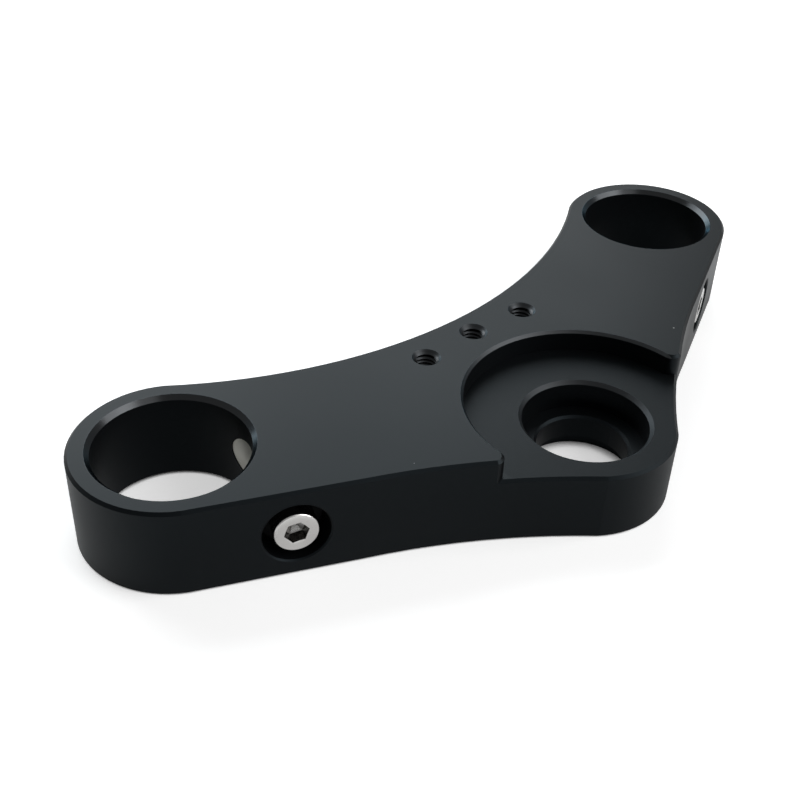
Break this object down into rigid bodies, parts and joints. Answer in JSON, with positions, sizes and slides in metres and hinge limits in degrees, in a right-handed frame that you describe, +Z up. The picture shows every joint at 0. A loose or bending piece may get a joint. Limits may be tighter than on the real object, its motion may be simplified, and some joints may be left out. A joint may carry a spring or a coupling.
{
  "type": "motorcycle triple clamp",
  "caption": "Flat machined plate that clamps two fork tubes and carries a steering stem, with hidden cotter clamps, a stepped stem bore in a round recess and tapped holes.",
  "frame": {"origin": "on the steering stem axis, at the flat bottom face", "axes": "+X towards the right fork bore, +Y towards the front of the motorcycle, +Z up along the stem axis"},
  "size_m": [0.2104, 0.0924, 0.023],
  "materials": {
    "black_anodised": "satin black anodised, machined all over, with fine tool marks",
    "cotter_steel": "turned steel",
    "cotter_blackened": "turned steel, chemically blackened",
    "screw_stainless": "bright stainless"
  },
  "bodies": {
    "root": {"clamp_body": "black_anodised", "left_outer_cotter": "cotter_blackened", "left_inner_cotter": "cotter_steel", "right_outer_cotter": "cotter_blackened", "right_inner_cotter": "cotter_steel", "pinch_screws": "screw_stainless"}
  },
  "joints": []
}
